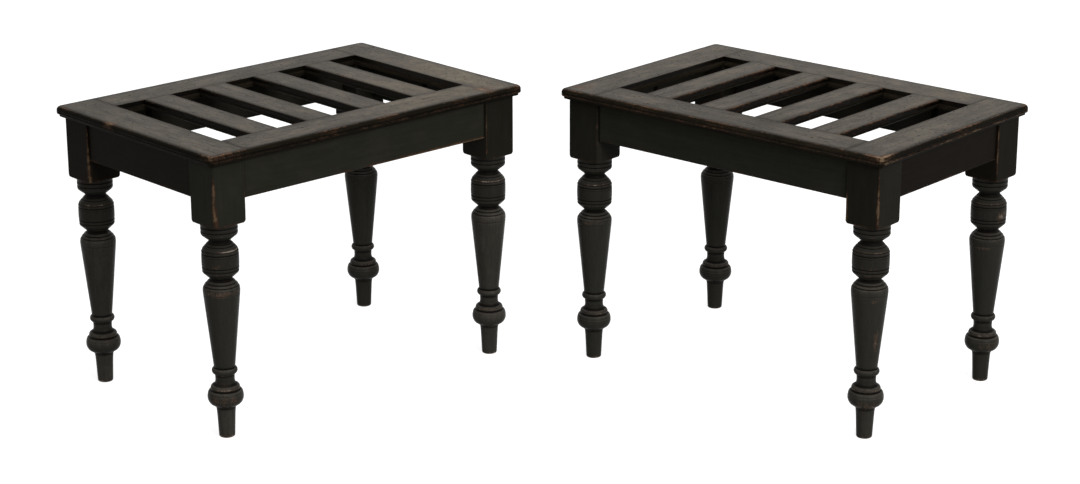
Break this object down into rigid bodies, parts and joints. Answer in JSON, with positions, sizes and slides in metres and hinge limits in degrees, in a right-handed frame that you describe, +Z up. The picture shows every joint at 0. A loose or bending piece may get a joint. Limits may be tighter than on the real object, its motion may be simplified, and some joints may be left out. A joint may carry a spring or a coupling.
{
  "type": "pair of luggage stools",
  "caption": "Pair of low slatted-top luggage stools on ring-turned legs with square heads, joined by plain aprons.",
  "frame": {"origin": "on the floor, under the middle of the box round both stools", "axes": "+X runs along the pair from the left stool to the right, +Y goes away from the front, +Z is up"},
  "size_m": [1.4992, 0.7156, 0.45],
  "materials": {
    "ebonised_wood": "ebonised pine, black stain under a worn polish",
    "screw_steel": "dull blued steel wood screw"
  },
  "bodies": {
    "left_stool": {"left_leg_front_left": "ebonised_wood", "left_leg_front_right": "ebonised_wood", "left_leg_back_right": "ebonised_wood", "left_leg_back_left": "ebonised_wood", "left_apron_front": "ebonised_wood", "left_apron_right": "ebonised_wood", "left_apron_back": "ebonised_wood", "left_apron_left": "ebonised_wood", "left_end_board_left": "ebonised_wood", "left_end_board_right": "ebonised_wood", "left_long_board_front": "ebonised_wood", "left_long_board_back": "ebonised_wood", "left_slat_1": "ebonised_wood", "left_slat_2": "ebonised_wood", "left_slat_3": "ebonised_wood", "left_slat_4": "ebonised_wood", "left_pocket_screws": "screw_steel"},
    "right_stool": {"right_leg_front_left": "ebonised_wood", "right_leg_front_right": "ebonised_wood", "right_leg_back_right": "ebonised_wood", "right_leg_back_left": "ebonised_wood", "right_apron_front": "ebonised_wood", "right_apron_right": "ebonised_wood", "right_apron_back": "ebonised_wood", "right_apron_left": "ebonised_wood", "right_end_board_left": "ebonised_wood", "right_end_board_right": "ebonised_wood", "right_long_board_front": "ebonised_wood", "right_long_board_back": "ebonised_wood", "right_slat_1": "ebonised_wood", "right_slat_2": "ebonised_wood", "right_slat_3": "ebonised_wood", "right_slat_4": "ebonised_wood", "right_pocket_screws": "screw_steel"}
  },
  "joints": [
    {"name": "pair_spacing", "type": "slide", "parent": "left_stool", "child": "right_stool", "axis": [1, 0, 0], "range_m": [-0.04, 0.6]}
  ]
}
